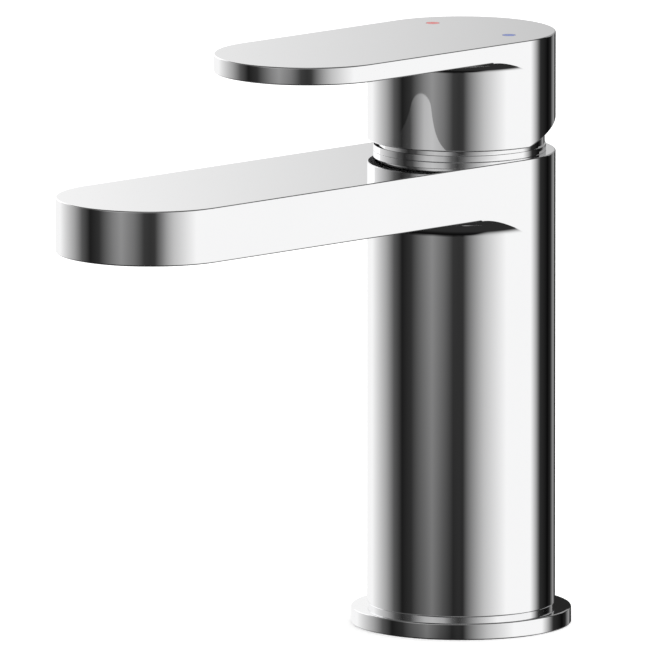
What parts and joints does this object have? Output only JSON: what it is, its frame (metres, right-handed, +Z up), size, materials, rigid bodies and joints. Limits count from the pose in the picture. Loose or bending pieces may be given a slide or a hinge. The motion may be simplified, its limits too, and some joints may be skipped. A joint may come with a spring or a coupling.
{
  "type": "single-lever basin mixer",
  "caption": "Deck-mounted basin mixer: a round column with a flat round-tipped spout, and a lever that turns and tilts a ceramic-disc cartridge to set temperature and flow.",
  "frame": {"origin": "centre of the base's underside, on the column's axis", "axes": "+Z up along the column's axis; the spout points along -Y, towards the user; hot is on -X, the user's left, and cold on +X"},
  "size_m": [0.0528, 0.1513, 0.143],
  "materials": {
    "chrome_body": "bright chrome plating, mirror polished",
    "chrome_lever": "bright chrome plating, mirror polished",
    "chrome_trim": "bright chrome plating, mirror polished",
    "rubber": "black nitrile rubber, matt",
    "grey_plastic": "moulded acetal, satin",
    "white_plastic": "moulded acetal, satin",
    "plug_plastic": "moulded plastic, semi-gloss grey",
    "ceramic": "ground and polished alumina",
    "steel": "turned and milled stainless steel",
    "brass": "turned brass",
    "red_plastic": "moulded plastic, semi-gloss",
    "red_enamel": "red enamel dot, gloss",
    "blue_enamel": "blue enamel dot, gloss"
  },
  "bodies": {
    "mixer_body": {"body": "chrome_body", "base_ring": "chrome_trim", "base_gasket": "rubber", "inlet_block": "brass", "block_seals": "rubber", "snap_ring": "steel", "cartridge_base": "grey_plastic", "port_seals": "rubber", "disc_seals": "rubber", "fixed_disc": "ceramic", "cartridge_housing": "grey_plastic", "housing_seal": "rubber", "limit_ring": "red_plastic", "retaining_nut": "brass", "cover_ring": "chrome_trim", "dome_cover": "chrome_trim", "aerator_housing": "chrome_trim", "aerator_insert": "grey_plastic", "aerator_screen": "white_plastic", "aerator_seal": "rubber"},
    "swivel": {"cartridge_rotor": "white_plastic", "stem_pin": "steel"},
    "slider": {"disc_carrier": "white_plastic", "moving_disc": "ceramic"},
    "lever": {"stem": "steel", "lever_handle": "chrome_lever", "set_screw": "steel", "screw_plug": "plug_plastic", "hot_index": "red_enamel", "cold_index": "blue_enamel"}
  },
  "joints": [
    {"name": "lever_turn", "type": "hinge", "parent": "mixer_body", "child": "swivel", "pos_m": [0, 0, 0.11], "axis": [0, 0, 1], "range_deg": [-50, 50]},
    {"name": "lever_lift", "type": "hinge", "parent": "swivel", "child": "lever", "pos_m": [0, 0, 0.11], "axis": [-1, 0, 0], "range_deg": [0, 22]},
    {"name": "disc_slide", "type": "slide", "parent": "swivel", "child": "slider", "axis": [0, -1, 0], "range_m": [0, 0.0035]}
  ],
  "couplings": [
    {"joint": "disc_slide", "follows": "lever_lift", "m_per_rad": 0.009}
  ]
}
